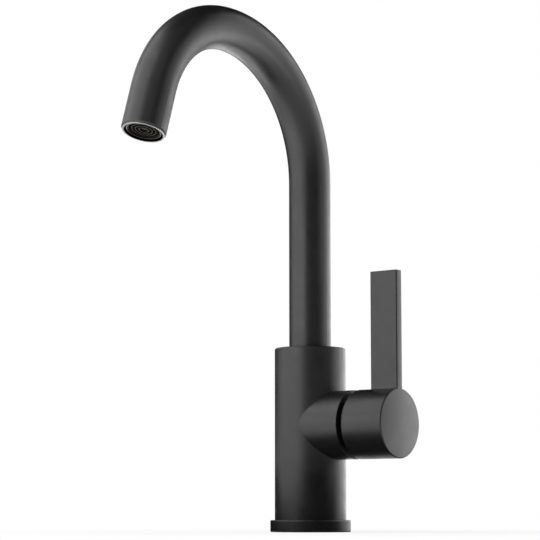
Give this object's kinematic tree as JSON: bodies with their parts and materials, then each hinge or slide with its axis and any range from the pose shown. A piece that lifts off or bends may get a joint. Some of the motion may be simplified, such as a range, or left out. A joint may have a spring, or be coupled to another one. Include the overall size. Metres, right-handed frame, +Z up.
{
  "type": "basin mixer tap",
  "caption": "Tall single-lever basin mixer with a round body, a high curved swivelling spout with aerator, and a side lever with an upright flat blade, in matt black.",
  "frame": {"origin": "centre of the base ring's foot, on the deck", "axes": "+Z up along the body, spout reaching towards -Y, lever branch along +X"},
  "size_m": [0.0938, 0.1992, 0.3198],
  "materials": {
    "black_paint": "matt black coating with a soft satin sheen over brass",
    "rubber": "smooth moulded rubber",
    "steel": "plain stainless steel",
    "brass": "machined brass",
    "bright_rim": "bare bright nickel-plated brass",
    "aerator_shell": "satin plated plastic",
    "dark_plastic": "warm dark grey moulded plastic",
    "black_plastic": "matt black plastic",
    "white_plastic": "moulded acetal",
    "ceramic": "lapped alumina ceramic"
  },
  "bodies": {
    "body": {"body_casting": "black_paint", "base_ring": "black_paint", "base_gasket": "rubber", "swivel_stop_screw": "steel", "cartridge_base": "white_plastic", "port_seals": "rubber", "disc_seals": "rubber", "lower_ceramic_disc": "ceramic", "cartridge_housing": "white_plastic", "cartridge_nut": "brass", "dome_ring": "black_paint"},
    "spout": {"spout_tube": "black_paint", "spout_shank": "brass", "spout_o_rings": "rubber", "glide_rings": "white_plastic", "outlet_bush": "bright_rim", "aerator_housing": "aerator_shell", "aerator_grille": "dark_plastic", "aerator_diffuser": "dark_plastic", "aerator_strainer": "white_plastic", "aerator_seal": "rubber"},
    "carrier": {"cartridge_carrier": "dark_plastic", "stem_pin": "steel"},
    "sliding_disc": {"upper_ceramic_disc": "ceramic", "disc_driver": "dark_plastic"},
    "lever": {"lever_stem": "steel", "lever_handle": "black_paint", "lever_grub_screw": "steel", "screw_cap": "black_plastic"}
  },
  "joints": [
    {"name": "spout_swivel", "type": "hinge", "parent": "body", "child": "spout", "pos_m": [0, 0, 0.1], "axis": [0, 0, 1], "range_deg": [-60, 60]},
    {"name": "temperature_turn", "type": "hinge", "parent": "body", "child": "carrier", "pos_m": [0.022, 0, 0.0664], "axis": [1, 0, 0], "range_deg": [-45, 45]},
    {"name": "flow_tilt", "type": "hinge", "parent": "carrier", "child": "lever", "pos_m": [0.022, 0, 0.0664], "axis": [0, 1, 0], "range_deg": [0, 20]},
    {"name": "disc_slide", "type": "slide", "parent": "carrier", "child": "sliding_disc", "axis": [0, 0, 1], "range_m": [0, 0.00514]}
  ],
  "couplings": [
    {"joint": "disc_slide", "follows": "flow_tilt", "m_per_rad": 0.014697}
  ]
}
